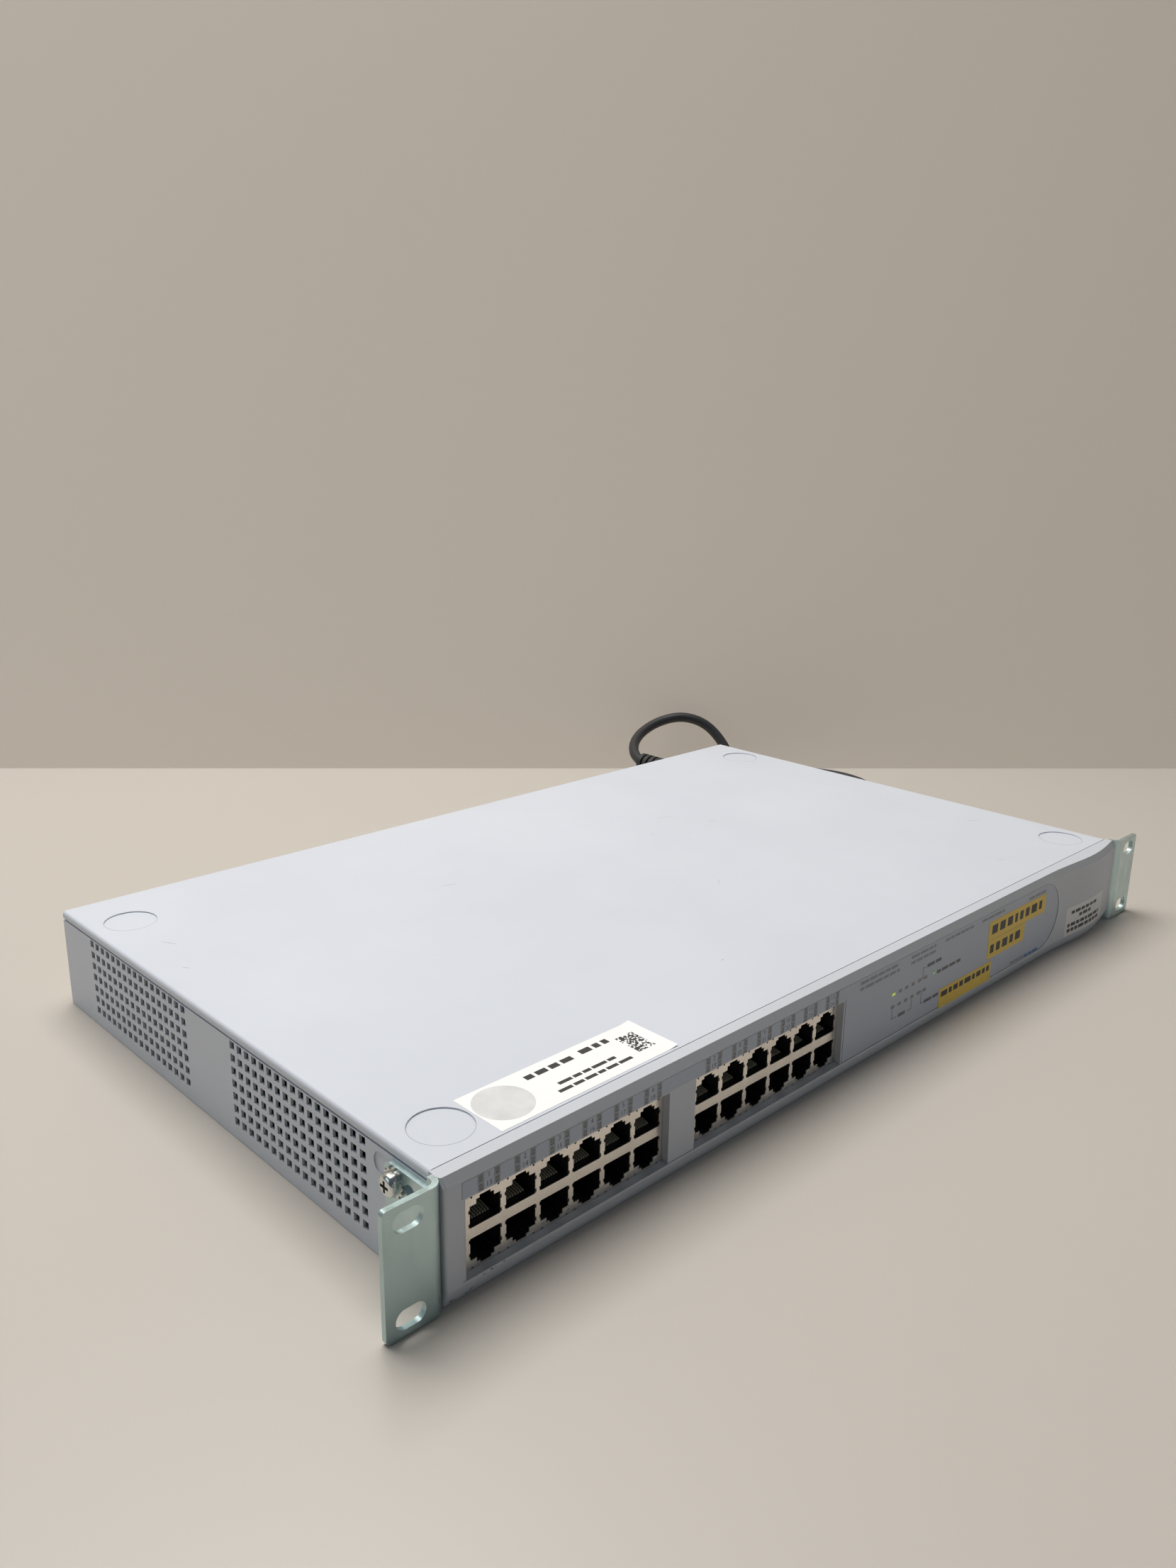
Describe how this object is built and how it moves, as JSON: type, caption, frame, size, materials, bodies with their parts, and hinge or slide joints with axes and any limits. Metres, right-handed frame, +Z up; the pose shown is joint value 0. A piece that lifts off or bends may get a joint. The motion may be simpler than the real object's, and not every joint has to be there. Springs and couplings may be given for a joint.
{
  "type": "rackmount network switch",
  "caption": "Low rackmount network switch: perforated pale steel case, moulded bezel with stacked shielded sockets and indicator field, rack ears, fans, rear module bays and a mains lead",
  "frame": {"origin": "centre of the footprint without the mains lead, on the surface that the switch stands on", "axes": "X along the front from left to right, Y from the front to the rear, Z up"},
  "size_m": [0.5593, 0.3614, 0.0447],
  "materials": {
    "cover_paint": "pale blue-grey powder coat, fine texture",
    "inner_steel": "zinc plated sheet",
    "bezel_plastic": "moulded pale grey plastic, fine grain",
    "overlay_film": "printed film, blue-grey, satin",
    "light_guide": "translucent light guides",
    "shield_steel": "nickel plated shield",
    "jack_plastic": "black moulding",
    "gold": "gold flashed wires",
    "board": "green solder mask",
    "component_plastic": "black component bodies",
    "capacitor_sleeve": "shrink sleeve",
    "heatsink_aluminium": "extruded, anodised",
    "choke_copper": "enamelled winding",
    "standoff_brass": "turned",
    "screw_steel": "zinc plated",
    "thumbscrew_steel": "knurled, nickel plated",
    "ear_zinc": "zinc plated, blue-green passivation",
    "ear_screw_zinc": "bright zinc plated",
    "inlet_plastic": "black moulding",
    "cord_rubber": "black flexible PVC",
    "tie_plastic": "black nylon hook and loop",
    "blade_brass": "nickel plated brass pins"
  },
  "bodies": {
    "switch": {"cover_top": "cover_paint", "cover_side_left": "cover_paint", "cover_side_right": "cover_paint", "base_tray": "cover_paint", "rear_panel": "cover_paint", "module_blanking_plate_left": "cover_paint", "module_blanking_plate_right": "cover_paint", "front_plate": "inner_steel", "fan_bracket": "inner_steel", "front_bezel": "bezel_plastic", "overlay_label": "overlay_film", "port_light_guides": "light_guide", "status_light_guide": "light_guide", "jack_shield_left": "shield_steel", "jack_shield_right": "shield_steel", "console_connector": "shield_steel", "console_jackscrews": "shield_steel", "jack_housing_left": "jack_plastic", "jack_housing_right": "jack_plastic", "jack_contacts": "gold", "main_pcb": "board", "psu_board": "board", "line_transformers": "component_plastic", "phy_chips": "component_plastic", "memory_chips": "component_plastic", "switch_asic": "component_plastic", "module_sockets": "component_plastic", "psu_transformer": "component_plastic", "dc_harness": "component_plastic", "fan_frame_front": "component_plastic", "fan_frame_rear": "component_plastic", "psu_bulk_capacitor": "capacitor_sleeve", "electrolytic_capacitors": "capacitor_sleeve", "asic_heatsink": "heatsink_aluminium", "psu_heatsinks": "heatsink_aluminium", "line_filter_choke": "choke_copper", "board_standoffs": "standoff_brass", "board_screws": "screw_steel", "fan_screws": "screw_steel", "cover_screws": "screw_steel", "rack_ear_left": "ear_zinc", "rack_ear_right": "ear_zinc", "ear_washers": "ear_screw_zinc", "ear_screws": "ear_screw_zinc", "iec_inlet": "inlet_plastic", "c13_plug": "cord_rubber", "strain_relief": "cord_rubber", "power_cord": "cord_rubber", "cord_coil": "cord_rubber", "plug_lead": "cord_rubber", "mains_plug": "cord_rubber", "cord_tie": "tie_plastic", "mains_plug_pins": "blade_brass"},
    "fan_rotor_front": {"fan_rotor_front": "component_plastic"},
    "fan_rotor_rear": {"fan_rotor_rear": "component_plastic"},
    "thumbscrew_1": {"thumbscrew_1": "thumbscrew_steel"},
    "thumbscrew_2": {"thumbscrew_2": "thumbscrew_steel"},
    "thumbscrew_3": {"thumbscrew_3": "thumbscrew_steel"},
    "thumbscrew_4": {"thumbscrew_4": "thumbscrew_steel"}
  },
  "joints": [
    {"name": "fan_front_spin", "type": "hinge", "parent": "switch", "child": "fan_rotor_front", "pos_m": [0.2076, -0.05535, 0.0216], "axis": [1, 0, 0], "continuous": true},
    {"name": "fan_rear_spin", "type": "hinge", "parent": "switch", "child": "fan_rotor_rear", "pos_m": [0.2076, 0.06275, 0.0216], "axis": [1, 0, 0], "continuous": true},
    {"name": "thumbscrew_1_turn", "type": "hinge", "parent": "switch", "child": "thumbscrew_1", "pos_m": [-0.2095, 0.13385, 0.0215], "axis": [0, 1, 0], "range_deg": [-1440, 0]},
    {"name": "thumbscrew_2_turn", "type": "hinge", "parent": "switch", "child": "thumbscrew_2", "pos_m": [-0.1225, 0.13385, 0.0215], "axis": [0, 1, 0], "range_deg": [-1440, 0]},
    {"name": "thumbscrew_3_turn", "type": "hinge", "parent": "switch", "child": "thumbscrew_3", "pos_m": [-0.1055, 0.13385, 0.0215], "axis": [0, 1, 0], "range_deg": [-1440, 0]},
    {"name": "thumbscrew_4_turn", "type": "hinge", "parent": "switch", "child": "thumbscrew_4", "pos_m": [-0.0185, 0.13385, 0.0215], "axis": [0, 1, 0], "range_deg": [-1440, 0]}
  ]
}
